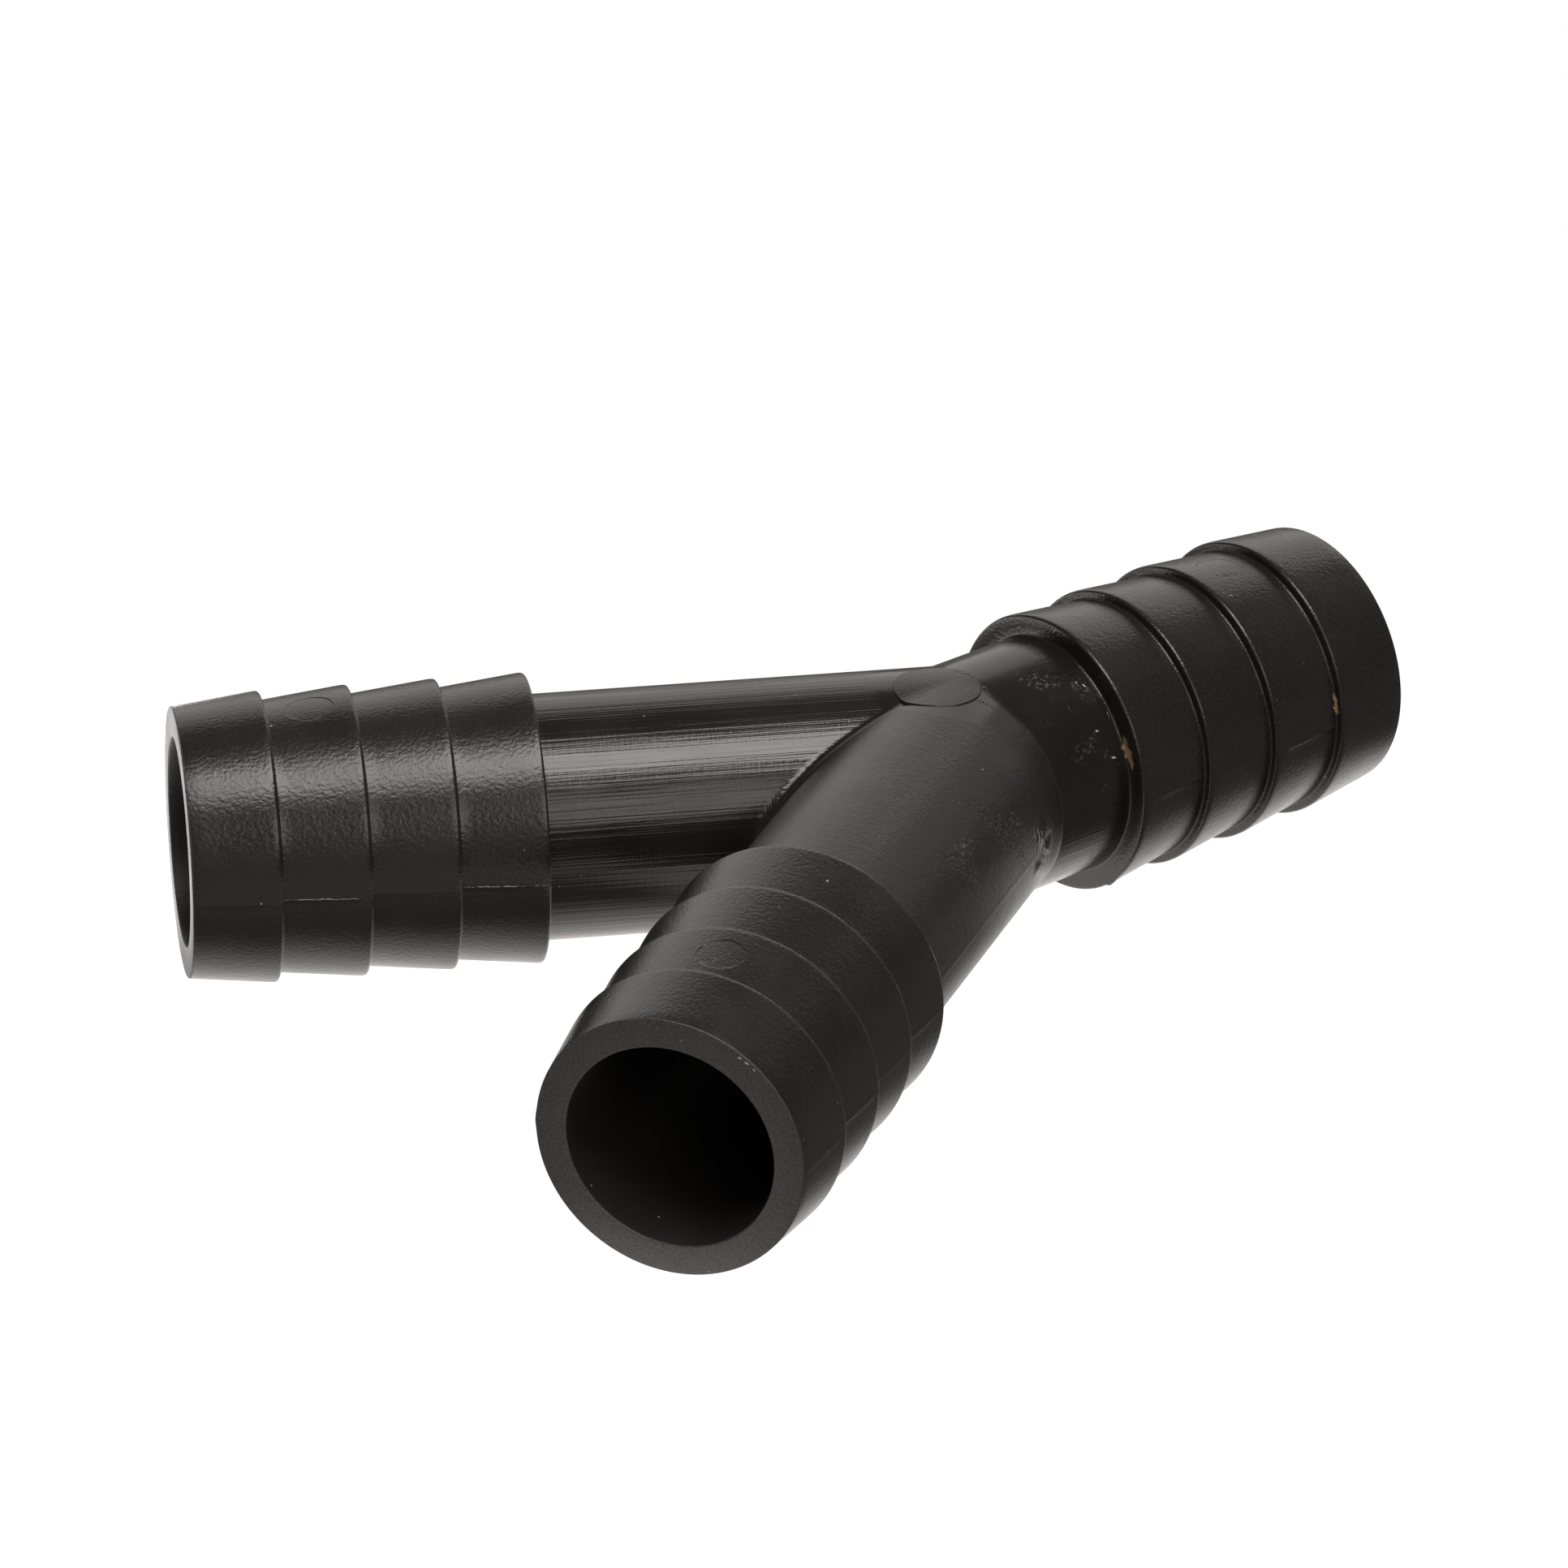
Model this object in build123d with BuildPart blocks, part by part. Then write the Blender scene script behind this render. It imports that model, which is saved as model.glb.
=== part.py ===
"""Barbed Y connector for 19 mm hose, moulded in one piece from black polypropylene.

A stem and two branches meet on one level, with 60 degrees between the branches.
Every arm is a plain tube that ends in a row of barbs, and a bore runs through it.

Frame, in millimetres: the origin is the centre of the stem's mouth, +X leaves the stem
along its axis, the branches run back towards -X and spread along Y, and +Z is up.
"""
import os

from build123d import *

# ---- driving dimensions, mm and degrees -------------------------------------------------
stem_length = 32.8  # from the point where the three axes meet to the stem's mouth
branch_length = 54.1  # from the same point to each branch's mouth
branch_angle = 60.0  # between the two branches

tube_diameter = 17.0
bore_diameter = 14.5
seam_round = 0.8  # in the valleys where two tubes meet

barb_count = 4
barb_pitch = 6.1
crest_diameter = 20.0
nose_diameter = 18.7  # the small end of a barb's cone
crest_land = 0.4  # the straight band behind the cone, where the hose grips

pad_diameter = 6.0  # the gate pad, on top of the junction
pad_rise = 0.1  # above the tubes' tops
pad_setback = 2.0  # from the point where the axes meet, towards the branches

pin_mark_diameter = 3.2  # the ejector pins' level marks, one on the top of each arm
pin_mark_depth = 0.1  # below the top of the cone, at the mark's centre
pin_mark_barb = 2  # the barb that carries the mark, counted from the mouth

# ---- worked out from them ---------------------------------------------------------------
tube_radius = tube_diameter / 2
bore_radius = bore_diameter / 2
crest_radius = crest_diameter / 2
nose_radius = nose_diameter / 2
pad_height = tube_radius + pad_rise
pin_mark_height = (crest_radius + nose_radius) / 2 - pin_mark_depth
junction = Vector(-stem_length, 0, 0)
up = Vector(0, 0, 1)

# each arm's direction from the junction, and its length
arms = [
    (Vector(1, 0, 0), stem_length),
    (Vector(-1, 0, 0).rotate(Axis.Z, branch_angle / 2), branch_length),
    (Vector(-1, 0, 0).rotate(Axis.Z, -branch_angle / 2), branch_length),
]


def barb_back(length, barb):
    """How far from the junction a barb's back face lies, with barb 1 at the mouth."""
    return length - barb * barb_pitch


def arm_outline(length):
    """The corners of half of an arm's section, with x along the axis and y outwards."""
    corners = [(0, 0), (0, tube_radius), (barb_back(length, barb_count), tube_radius)]
    for barb in range(barb_count, 0, -1):
        back = barb_back(length, barb)
        corners.append((back, crest_radius))
        corners.append((back + crest_land, crest_radius))
        corners.append((back + barb_pitch, nose_radius))
    corners.append((length, 0))
    return corners


with BuildPart() as y_connector:
    # the arms, each turned about its own axis from a section that stands upright
    for direction, length in arms:
        with BuildSketch(Plane(junction, x_dir=direction, z_dir=direction.cross(up))):
            with BuildLine():
                Polyline(arm_outline(length), close=True)
            make_face()
        revolve(axis=Axis(junction, direction))

    # the three tubes cross in half ellipses, which are the valleys
    fillet(y_connector.edges().filter_by(GeomType.ELLIPSE), seam_round)

    # the gate pad, a level disc that stands just proud of the junction's crown
    with BuildSketch(Plane(junction - Vector(pad_setback, 0, 0))):
        Circle(pad_diameter / 2)
    extrude(amount=pad_height)

    # the pin marks: each is a level disc, filled up to it and cleared above it
    for direction, length in arms:
        mark = junction + direction * (barb_back(length, pin_mark_barb) + barb_pitch / 2)
        with BuildSketch(Plane(mark + up * pin_mark_height)) as pin_mark:
            Circle(pin_mark_diameter / 2)
        extrude(pin_mark.sketch, amount=bore_radius - pin_mark_height)
        extrude(pin_mark.sketch, amount=crest_radius - pin_mark_height, mode=Mode.SUBTRACT)

    # the bores, from the junction out through each mouth
    for direction, length in arms:
        with BuildSketch(Plane(junction, z_dir=direction)):
            Circle(bore_radius)
        extrude(amount=length, mode=Mode.SUBTRACT)

y_connector.part.label = "y_connector"

os.makedirs("parts", exist_ok=True)
export_step(y_connector.part, "parts/y_connector.step")
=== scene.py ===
"""Barbed Y connector for hose: its moulded surface, its black plastic and the stage it lies on.

The CAD node gives the frame: the origin is the centre of the stem's mouth, +X leaves the
stem, the branches run back towards -X and spread along Y, and +Z is up. Sizes are in metres,
and the tables of lumps, marks and glow patches are in millimetres.
"""

import math

import bmesh
import bpy
import numpy as np
from mathutils import Matrix, Vector


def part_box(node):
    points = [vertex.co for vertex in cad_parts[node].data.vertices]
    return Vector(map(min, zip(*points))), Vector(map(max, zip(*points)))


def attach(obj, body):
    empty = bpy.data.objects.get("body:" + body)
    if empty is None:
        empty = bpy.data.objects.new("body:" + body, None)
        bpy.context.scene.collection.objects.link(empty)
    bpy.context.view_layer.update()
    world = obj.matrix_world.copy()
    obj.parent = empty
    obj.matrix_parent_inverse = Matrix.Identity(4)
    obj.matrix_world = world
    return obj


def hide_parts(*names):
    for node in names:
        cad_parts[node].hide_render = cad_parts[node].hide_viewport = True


bl_info = {
    "name": "Barbed Y connector",
    "version": (1, 0, 0),
    "blender": (4, 5, 0),
    "location": "View3D > Sidebar > Y connector",
    "description": "Builds a moulded barbed Y connector for hose, its plastic and its stage",
    "category": "Add Mesh",
}

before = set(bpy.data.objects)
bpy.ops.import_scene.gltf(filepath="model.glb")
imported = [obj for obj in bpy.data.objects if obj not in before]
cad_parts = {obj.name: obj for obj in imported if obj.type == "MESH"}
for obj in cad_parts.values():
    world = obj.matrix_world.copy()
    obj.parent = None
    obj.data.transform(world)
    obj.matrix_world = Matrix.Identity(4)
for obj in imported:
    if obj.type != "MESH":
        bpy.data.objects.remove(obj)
CAD_NODE = "y_connector"
_, CAD_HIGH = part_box(CAD_NODE)
MM = 0.001
UP = np.array([0.0, 0.0, 1.0])
TUBE, SATIN_TUBE, BARBS, ENDS, BORES = range(5)  # the finishes, in the materials' order

# Attributes: a corner's place along, beside and above its arm's axis, a point's share of
# the relief, which is 0 on a seam and 1 from SEAM_FADE off it, and the floor's glow.
ARM_PLACE, OFF_SEAM, NEAR_OBJECT = "arm_place", "off_seam", "near_object"
SEAM_FADE = 0.9 * MM

# An arm's grid: the longest steps on its plain tube, profile and bore, and round it; the
# tube's further rows and how they crowd at the seam; how far the profile runs past the last
# barb's foot and into the mouth; and that foot's rows in the tube's finish.
TUBE_STEP, PROFILE_STEP, BORE_STEP = 0.9 * MM, 1.0 * MM, 1.6 * MM
COLUMN_ANGLE = math.radians(2.7)
SEAM_ROWS, SEAM_CROWDING = 14, 2.0
FOOT_LEAD, BORE_LEAD = 0.4 * MM, 0.6 * MM
FOOT_ROWS = 3
SETTLE_STEPS, UPRIGHT_STEPS = 8, 12
WELD_REACH = 0.0002 * MM
SHARP_ANGLE = math.radians(38)

# The parting ridge: its share of the full rise on each barb, from the mouth, and on the
# tube; how long it takes to grow off a seam, and the share of that it starts late by.
PARTING_STRENGTH = (0.5, 1.0, 0.35, 0.8, 0.2)
PARTING_FADE, PARTING_LATE = 1.5 * MM, 0.2

# Pin marks and gate pad: the columns on each side of a mark, and the margins round it; how
# far a top follows the surface round it, where 0 is level, and how low or high its edge is;
# its rim's unevenness, as a share of its radius, and waves; and the rings of points.
MARK_COLUMNS, MARK_MARGIN = 12, 0.6 * MM
MARK_CLEARANCE = 0.15 * MM
MARK_FOLLOW, MARK_RIM = 0.9, 0.025 * MM
MARK_UNEVEN, MARK_WAVES = 0.008, (3, 5, 9)
PAD_MARGIN, PAD_DOME_ROUND = 0.8 * MM, 3.0 * MM
PAD_FOLLOW, PAD_LIP = 0.75, 0.035 * MM
PAD_SEED, PAD_UNEVEN, PAD_WAVES = 7, 0.012, (2, 5, 9, 14)
OUTER_RINGS, INNER_RINGS = 10, 14
RIM_STEPS = np.array([0.04, 0.0, 0.03, 0.07, 0.13]) * MM  # out to its foot, then inwards

# A lump's name, its centre and its reach, and how far its middle is pushed.
LUMPS = (
    ("scar_ridge", (-34.1, -10.5, 1.2), 0.5, (0.1, -0.3, 0.05)),
    ("scar_dent", (-33.2, -10, -0.1), 0.55, (-0.05, 0.34, 0)),
    ("scar_tail", (-34.6, -10.8, -1), 0.45, (0.05, -0.24, 0)),
    ("scar_side", (-32.5, -9.5, 1), 0.35, (0.1, -0.2, 0)),
    ("flash_nib", (-24.35, -6.5, -7.6), 0.35, (0, -0.1, -0.2)),
    ("mouth_b_nib", (-84.2, -19, 0.2), 0.5, (-0.02, 0.07, 0)),
)


# ---- sizes and colours ----
def length(name, description, millimetres):
    """A length property, with its default in millimetres."""
    return bpy.props.FloatProperty(
        name=name, description=description, default=millimetres * MM, unit="LENGTH", precision=5
    )


def colour(name, description, value):
    """A colour property, in linear light."""
    return bpy.props.FloatVectorProperty(
        name=name, description=description, default=value, subtype="COLOR", size=3, min=0.0, max=1.0
    )


def fraction(name, description, value):
    """A property between 0 and 1."""
    return bpy.props.FloatProperty(
        name=name, description=description, default=value, min=0.0, max=1.0, subtype="FACTOR"
    )


def count(name, description, value):
    """A whole number, from 1."""
    return bpy.props.IntProperty(name=name, description=description, default=value, min=1)


class ConnectorSizes(bpy.types.PropertyGroup):
    """The connector's sizes, as the CAD part has them."""

    stem_length: length("Stem length", "From the junction to the stem's mouth", 32.8)
    branch_length: length("Branch length", "From the junction to each branch's mouth", 54.1)
    branch_angle: bpy.props.FloatProperty(
        name="Branch angle", description="From branch to branch",
        default=math.radians(60), subtype="ANGLE",
    )
    tube_diameter: length("Tube diameter", "The plain tubes, outside", 17.0)
    bore_diameter: length("Bore diameter", "The bore of every arm", 14.5)
    seam_round: length("Seam rounding", "Radius in the valleys where two tubes meet", 0.8)
    barb_count: count("Barbs", "Barbs on each arm", 4)
    barb_pitch: length("Barb pitch", "From one barb to the next", 6.1)
    crest_diameter: length("Crest diameter", "The widest part of a barb", 20.0)
    nose_diameter: length("Nose diameter", "The small end of a barb", 18.7)
    crest_land: length("Crest land", "The straight band behind a barb's cone", 0.4)
    crest_round: length("Crest rounding", "Radius of a barb's back edge", 0.2)
    land_round: length("Land rounding", "Radius of the turn from a crest's land to its cone", 2.5)
    root_round: length("Root rounding", "Radius at the foot of a barb's back face", 0.15)
    mouth_round: length("Mouth rounding", "Radius of the mouth's two edges", 0.12)
    parting_width: length("Parting line width", "Of the ridge at mid height, from middle to foot", 0.1)
    parting_rise: length("Parting line rise", "Of the ridge at mid height", 0.055)
    pad_diameter: length("Gate pad diameter", "The disc on top of the junction", 6.0)
    pad_rise: length("Gate pad rise", "Of its level above the tubes' tops", 0.1)
    pad_setback: length("Gate pad setback", "From the junction towards the branches", 2.0)
    pin_mark_diameter: length("Pin mark diameter", "The ejector pins' marks", 3.2)
    pin_mark_depth: length("Pin mark depth", "Below the top of the cone, at its centre", 0.1)
    pin_mark_barb: count("Pin mark barb", "Counted from the mouth", 2)


class ConnectorFinish(bpy.types.PropertyGroup):
    """The plastic's colours and surface, with the bores' colour painted paler to stand in for light.
    """

    plastic_colour: colour("Plastic", "The black plastic's own colour", (0.0105, 0.0092, 0.0085))
    # The bores' colour is paler than the plastic's own. This is painted light, standing in for the
    # light that doesn't get into the bores.
    bore_painted_light_colour: colour("Bore", "The matt plastic inside the bores", (0.0155, 0.0125, 0.0115))
    barb_colour: colour("Barbs", "The satin barbs' plastic, a little paler", (0.0105, 0.0092, 0.0085))
    end_colour: colour("End faces", "The matt plastic of the mouths' end faces", (0.030, 0.026, 0.023))
    residue_colour: colour("Residue", "The tan specks at some barbs' feet", (0.33, 0.20, 0.09))
    dust_colour: colour("Dust", "White dust and flecks", (0.62, 0.61, 0.58))
    tube_roughness: fraction("Tube roughness", "The plain tubes, which are the glossiest", 0.19)
    satin_roughness: fraction("Satin tube roughness", "Branch b's plain tube, which is satin", 0.34)
    barb_roughness: fraction("Barb roughness", "The satin barbs", 0.26)
    end_roughness: fraction("End roughness", "The matt end faces and bores", 0.5)
    gloss_variation: fraction("Gloss variation", "How far the roughness wanders, both ways", 0.03)
    scuff_strength: fraction("Scuffs", "How pale the clouds of fine scuffs are", 0.45)
    crinkle_height: length("Crinkle height", "Of the barbs' fine grain", 0.034)
    tool_line_height: length("Tool line height", "Of the tubes' fine lengthwise lines", 0.04)


def add_object(name, data):
    """A new object in the scene, at the origin."""
    made = bpy.data.objects.new(name, data)
    bpy.context.scene.collection.objects.link(made)
    return made


# ---- the arms ----
class Arm:
    """One arm: its unit direction from the junction, and its level sideways direction."""

    def __init__(self, heading, length, gaps, finish=TUBE):
        self.finish = finish  # of the plain tube
        self.length = length
        self.gaps = gaps  # the angle to the next arm clockwise, and anticlockwise
        self.along = np.array([math.cos(heading), math.sin(heading), 0.0])
        self.sideways = np.array([-math.sin(heading), math.cos(heading), 0.0])

    def place(self, local):
        """Points from their distances along, beside and above the axis."""
        along, beside, above = local[..., :1], local[..., 1:2], local[..., 2:]
        return along * self.along + beside * self.sideways + above * UP


def lay_out_arms(sizes):
    """The stem points along +X, and the branches stand half their angle to each side of -X.

    Branch a is the one on the +Y side, and branch b, whose plain tube is satin, is on -Y.
    """
    apart = sizes.branch_angle
    beside = math.pi - apart / 2
    return [
        Arm(0.0, sizes.stem_length, (beside, beside)),
        Arm(beside, sizes.branch_length, (beside, apart)),
        Arm(-beside, sizes.branch_length, (apart, beside), SATIN_TUBE),
    ]


def union_field(points, arms, radius, rounding):
    """The distance from the union of the tubes, and its slope.

    A tube's distance is the one from its axis, which starts at the junction, less the radius.
    The two nearest tubes are joined by a quadratic smooth minimum. Its reach is 4 r (1 - cos a/2),
    with a the angle between their surfaces' normals, which makes a rolling ball fillet of
    radius r and dies out at the crown, where the tubes' tops are level with each other.
    """
    distances, normals = [], []
    for arm in arms:
        ahead = np.maximum(points @ arm.along, 0.0)
        away = points - ahead[..., None] * arm.along
        reach = np.linalg.norm(away, axis=-1)
        distances.append(reach - radius)
        normals.append(away / reach[..., None])
    order = np.argsort(np.array(distances), axis=0)
    distances = np.take_along_axis(np.array(distances), order, axis=0)
    normals = np.take_along_axis(np.array(normals), order[..., None], axis=0)
    half_cosine = np.sqrt(np.clip((1 + (normals[0] * normals[1]).sum(-1)) / 2, 0, 1))
    reach = np.maximum(4 * rounding * (1 - half_cosine), 1e-9)
    share = np.clip(0.5 + 0.5 * (distances[1] - distances[0]) / reach, 0, 1)
    value = distances[0] * share + distances[1] * (1 - share) - reach * share * (1 - share)
    slope = normals[0] * share[..., None] + normals[1] * (1 - share)[..., None]
    return value, slope


def settle(points, arms, radius, rounding):
    """Newton's steps down the field's slope, until the points lie on the joined surface."""
    for _ in range(SETTLE_STEPS):
        value, slope = union_field(points, arms, radius, rounding)
        points = points - (value / (slope**2).sum(-1))[..., None] * slope
    return points


def settle_upright(plan, arms, radius, rounding):
    """The joined surface over points in plan, found by Newton's steps straight up."""
    points = np.concatenate([plan, np.full((*plan.shape[:-1], 1), radius)], -1)
    for _ in range(UPRIGHT_STEPS):
        value, slope = union_field(points, arms, radius, rounding)
        points[..., 2] -= value / slope[..., 2]
    return points


def crown_radius(sizes):
    """The circle in plan round the junction that the gate pad's patch fills, clear of the pad."""
    return sizes.pad_setback + sizes.pad_diameter / 2 + PAD_MARGIN


def corner_angle(gap, sizes):
    """The angle from the crown at which the seam across a gap crosses the crown circle.

    In plan the seam halves the gap, so the crossing is the circle's radius times the sine of
    half the gap away from either axis, and that is the tube's radius times the wanted sine.
    """
    return math.asin(crown_radius(sizes) * math.sin(gap / 2) / (sizes.tube_diameter / 2))


def side_angles(gap, sizes):
    """Angles from the crown, 0, to the belly, pi, on the side of a gap.

    They are fine where the pin mark's square is, pass through the corner where the seam meets
    the crown circle, and stand close together at mid height, for the parting line's ridge.
    """
    window = math.asin((sizes.pin_mark_diameter + 2 * MARK_MARGIN) / sizes.crest_diameter)
    spread = sizes.parting_width / sizes.crest_diameter
    ridge = math.pi / 2 + spread * np.array([-2.0, -1.0, -0.4, 0.4, 1.0, 2.0])
    stops = [window, corner_angle(gap, sizes), ridge[0]]
    parts = [np.linspace(0, window, MARK_COLUMNS + 1)[:-1]]
    for start, end in zip(stops[:-1], stops[1:]):
        parts.append(np.linspace(start, end, math.ceil((end - start) / COLUMN_ANGLE) + 1)[:-1])
    belly = math.ceil((math.pi - ridge[-1]) / COLUMN_ANGLE)
    return np.concatenate([*parts, ridge, np.linspace(ridge[-1], math.pi, belly + 1)[1:]])


def rounded(corners, steps=4):
    """A polyline through the corners (x, y, radius), with an arc of that radius at each.

    The arc starts r tan(turn / 2) before the corner, and its points turn at an even rate.
    """
    spots = np.array([c[:2] for c in corners], float)
    out = [spots[:1]]
    radii = [c[2] for c in corners[1:-1]]
    for before, spot, after, radius in zip(spots[:-2], spots[1:-1], spots[2:], radii):
        into = (spot - before) / np.linalg.norm(spot - before)
        onward = (after - spot) / np.linalg.norm(after - spot)
        turn = math.atan2(into[0] * onward[1] - into[1] * onward[0], into @ onward)
        if radius == 0 or abs(turn) < 1e-6:
            out.append(spot[None])
            continue
        start = spot - into * radius * math.tan(abs(turn) / 2)
        bend = math.copysign(1, turn)
        centre = start + bend * radius * np.array([-into[1], into[0]])
        swept = np.linspace(0, turn, steps + 1)[:, None]
        spoke = start - centre
        across = np.array([-spoke[1], spoke[0]])
        out.append(centre + np.cos(swept) * spoke + np.sin(swept) * across)
    out.append(spots[-1:])
    return np.concatenate(out)


def split_long(profile, longest):
    """The same polyline, with its long stretches cut into equal steps no longer than that."""
    out = [profile[:1]]
    for start, end in zip(profile[:-1], profile[1:]):
        count = max(1, math.ceil(np.linalg.norm(end - start) / longest - 1e-6))
        share = np.arange(1, count + 1)[:, None] / count
        out.append(start + (end - start) * share)
    return np.concatenate(out)


def barb_back(arm, barb, sizes):
    """How far from the junction a barb's back face lies, with barb 1 at the mouth."""
    return arm.length - barb * sizes.barb_pitch


def cone_radius(distance, arm, sizes):
    """The marked barb's radius, straight from its crest's land down to its nose."""
    crest, nose = sizes.crest_diameter / 2, sizes.nose_diameter / 2
    slope = (nose - crest) / (sizes.barb_pitch - sizes.crest_land)
    return crest + (distance - barb_back(arm, sizes.pin_mark_barb, sizes) - sizes.crest_land) * slope


def mark_rows(arm, sizes):
    """The rows, by distance from the junction, of the square that a pin mark's patch fills."""
    middle = barb_back(arm, sizes.pin_mark_barb, sizes) + sizes.barb_pitch / 2
    half = sizes.pin_mark_diameter / 2 + MARK_MARGIN
    return middle + half * np.linspace(-1, 1, 2 * MARK_COLUMNS + 1)


def arm_profile(arm, window_rows, sizes):
    """The arm's section from the foot of its last barb out to the mouth and into the bore.

    Points are (distance along the axis, radius), with the pin mark's rows among them. The
    index of the first of those rows is given too.
    """
    tube, bore = sizes.tube_diameter / 2, sizes.bore_diameter / 2
    crest, nose = sizes.crest_diameter / 2, sizes.nose_diameter / 2
    first = barb_back(arm, sizes.barb_count, sizes)
    corners = [(first - FOOT_LEAD, tube, 0), (first, tube, sizes.root_round)]
    for barb in range(sizes.barb_count, 0, -1):
        back = barb_back(arm, barb, sizes)
        foot_round = sizes.mouth_round if barb == 1 else sizes.root_round
        corners += [
            (back, crest, sizes.crest_round),
            (back + sizes.crest_land, crest, sizes.land_round),
            (back + sizes.barb_pitch, nose, foot_round),
        ]
    corners += [(arm.length, bore, sizes.mouth_round), (arm.length - BORE_LEAD, bore, 0)]
    profile = split_long(rounded(corners), PROFILE_STEP)
    # the mark's rows take the place of those that were on its cone
    s, r = profile.T
    near = (s > window_rows[0] - MARK_CLEARANCE) & (s < window_rows[-1] + MARK_CLEARANCE)
    on_cone = np.flatnonzero(near & (r > nose - 0.01 * MM) & (r < crest))
    start, end = int(on_cone[0]), int(on_cone[-1]) + 1
    window = np.stack([window_rows, cone_radius(window_rows, arm, sizes)], 1)
    return np.concatenate([profile[:start], window, profile[end:]]), start


def lumps(points, junction):
    """The sum of the lumps' pushes, each weighed by exp(-(distance / reach)^2)."""
    moved = np.zeros_like(points)
    for _, centre, reach, push in LUMPS:
        away = points - (np.array(centre) * MM - junction)
        weight = np.exp(-(away**2).sum(-1) / (reach * MM) ** 2)
        moved += weight[..., None] * np.array(push) * MM
    return moved


class Surface:
    """A mesh being gathered: grids of points, their arm coordinates, faces and finishes."""

    def __init__(self):
        self.points, self.local, self.off_seam = [], [], []
        self.faces, self.finish = [], []
        self.count = 0

    def add_points(self, points, local, off_seam):
        """Takes in points, arm coordinates and shares of the relief; gives the first's index."""
        first = self.count
        self.off_seam.append(np.broadcast_to(off_seam, points.shape[:-1]).reshape(-1))
        self.points.append(points.reshape(-1, 3))
        self.local.append(local.reshape(-1, 3))
        self.count += self.points[-1].shape[0]
        return first

    def add_faces(self, faces, finish):
        """Takes in faces, as point indices, and their finish."""
        self.faces += faces.reshape(-1, faces.shape[-1]).tolist()
        self.finish.append(np.broadcast_to(finish, faces.shape[:-1]).reshape(-1))

    def make(self, name, origin, materials):
        """One welded mesh. Every corner keeps its arm's own coordinates, which patterns follow."""
        mesh = bpy.data.meshes.new(name)
        mesh.from_pydata(np.concatenate(self.points) + origin, [], self.faces)
        for material in materials:
            mesh.materials.append(material)
        finish = np.concatenate(self.finish).astype(np.int32)
        mesh.polygons.foreach_set("material_index", finish)
        corners = np.zeros(len(mesh.loops), np.int32)
        mesh.loops.foreach_get("vertex_index", corners)
        local = np.concatenate(self.local)[corners].astype(np.float32).ravel()
        mesh.attributes.new(ARM_PLACE, "FLOAT_VECTOR", "CORNER").data.foreach_set("vector", local)
        off_seam = np.concatenate(self.off_seam).astype(np.float32)
        mesh.attributes.new(OFF_SEAM, "FLOAT", "POINT").data.foreach_set("value", off_seam)
        working = bmesh.new()
        working.from_mesh(mesh)
        bmesh.ops.remove_doubles(working, verts=working.verts, dist=WELD_REACH)
        working.to_mesh(mesh)
        working.free()
        mesh.shade_smooth()
        mesh.set_sharp_from_angle(angle=SHARP_ANGLE)
        return add_object(name, mesh)


def grid_faces(shape):
    """The quads of a grid of points, which face row direction x column direction."""
    index = np.arange(shape[0] * shape[1]).reshape(shape[:2])
    return np.stack([index[:-1, :-1], index[1:, :-1], index[1:, 1:], index[:-1, 1:]], -1)


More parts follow.
